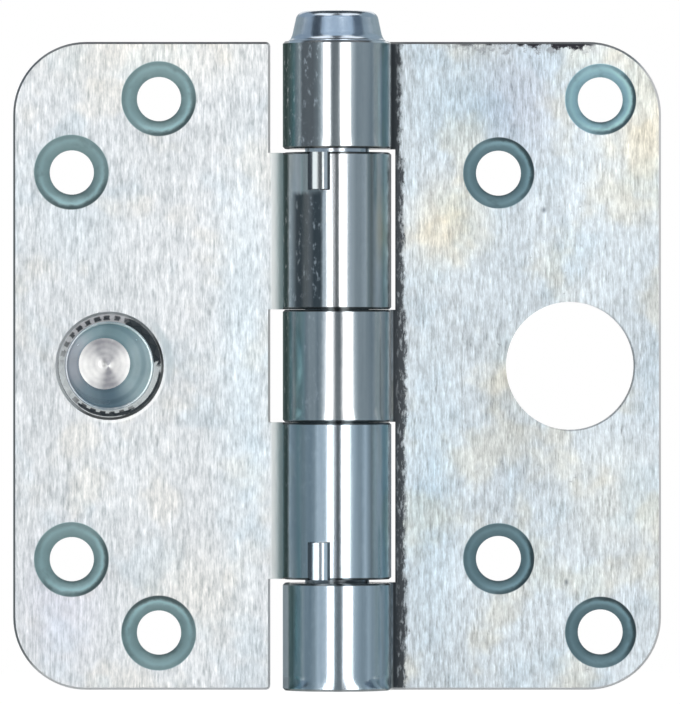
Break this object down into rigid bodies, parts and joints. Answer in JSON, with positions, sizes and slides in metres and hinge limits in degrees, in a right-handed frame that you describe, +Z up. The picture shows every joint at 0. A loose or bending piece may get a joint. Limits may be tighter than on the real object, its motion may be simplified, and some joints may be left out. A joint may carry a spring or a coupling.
{
  "type": "loose pin butt hinge",
  "caption": "Butt hinge of brushed zinc-plated steel with rolled knuckles, a loose headed pin, countersunk screw holes and a security stud that enters a hole in the other leaf when shut.",
  "frame": {"origin": "on the pin axis, at the bottom edge of the leaves and barrel, with the hinge open flat", "axes": "+Z up along the pin towards its head, +X towards the frame leaf, +Y from the screw side to the back that lies on the door and frame"},
  "size_m": [0.089, 0.0148, 0.0931],
  "materials": {
    "brushed_zinc_frame": "blue-white zinc plate over steel sheet with a fine upright brushed grain",
    "brushed_zinc_door": "blue-white zinc plate over steel sheet with a fine upright brushed grain",
    "zinc_pin": "bright bluish zinc plate over a turned steel pin",
    "turned_zinc_stud": "zinc plate over turned steel, with lathe rings on its tip"
  },
  "bodies": {
    "frame_leaf": {"frame_leaf": "brushed_zinc_frame"},
    "door_leaf": {"door_leaf": "brushed_zinc_door", "security_stud": "turned_zinc_stud"},
    "hinge_pin": {"hinge_pin": "zinc_pin"}
  },
  "joints": [
    {"name": "door_swing", "type": "hinge", "parent": "frame_leaf", "child": "door_leaf", "pos_m": [0, 0, 0], "axis": [0, 0, 1], "range_deg": [-118, 180]},
    {"name": "pin_lift", "type": "slide", "parent": "frame_leaf", "child": "hinge_pin", "axis": [0, 0, 1], "range_m": [0, 0.09]}
  ]
}
